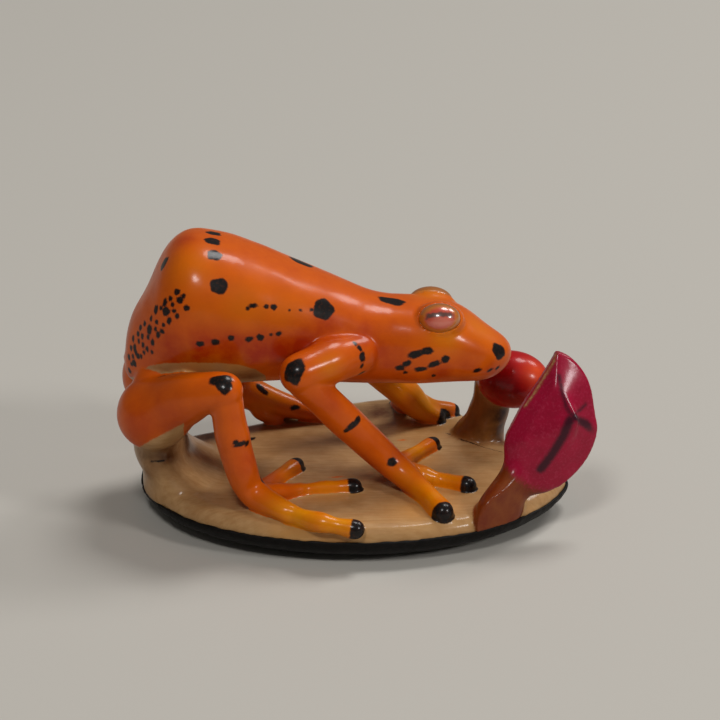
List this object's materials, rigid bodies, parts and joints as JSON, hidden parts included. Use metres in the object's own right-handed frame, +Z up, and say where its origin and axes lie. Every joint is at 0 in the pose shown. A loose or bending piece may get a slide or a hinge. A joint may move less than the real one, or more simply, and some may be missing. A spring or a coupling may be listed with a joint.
{
  "type": "frog figurine",
  "caption": "Small lacquered frog carved from a palm nut, stooping over a bud and a petal on an oval base of the same nut.",
  "frame": {"origin": "middle of the flat ground under the base, on the plane that the base stands on", "axes": "+X the way the frog looks, +Y towards its left side, +Z up"},
  "size_m": [0.0508, 0.0388, 0.0312],
  "materials": {
    "seed_skin": "satin, dark seed skin",
    "bare_nut": "gloss, lacquered bare nut",
    "orange_nut": "gloss, dyed and lacquered nut with inked spots",
    "eye_gloss": "high gloss, painted and lacquered dome",
    "petal_dye": "gloss, dyed and lacquered nut",
    "stalk_dye": "gloss, dyed and lacquered nut",
    "bud_dye": "gloss, dyed and lacquered nut",
    "stem_nut": "gloss, stained and lacquered nut"
  },
  "bodies": {
    "root": {"seed_skin": "seed_skin", "nut_base": "bare_nut", "trunk": "orange_nut", "head": "orange_nut", "right_thigh": "orange_nut", "left_thigh": "orange_nut", "right_shank": "orange_nut", "left_shank": "orange_nut", "right_hind_foot": "orange_nut", "left_hind_foot": "orange_nut", "right_upper_arm": "orange_nut", "left_upper_arm": "orange_nut", "right_forearm": "orange_nut", "left_forearm": "orange_nut", "right_hand": "orange_nut", "left_hand": "orange_nut", "right_eye": "eye_gloss", "left_eye": "eye_gloss", "petal": "petal_dye", "petal_stalk": "stalk_dye", "red_bud": "bud_dye", "bud_stem": "stem_nut"}
  },
  "joints": []
}
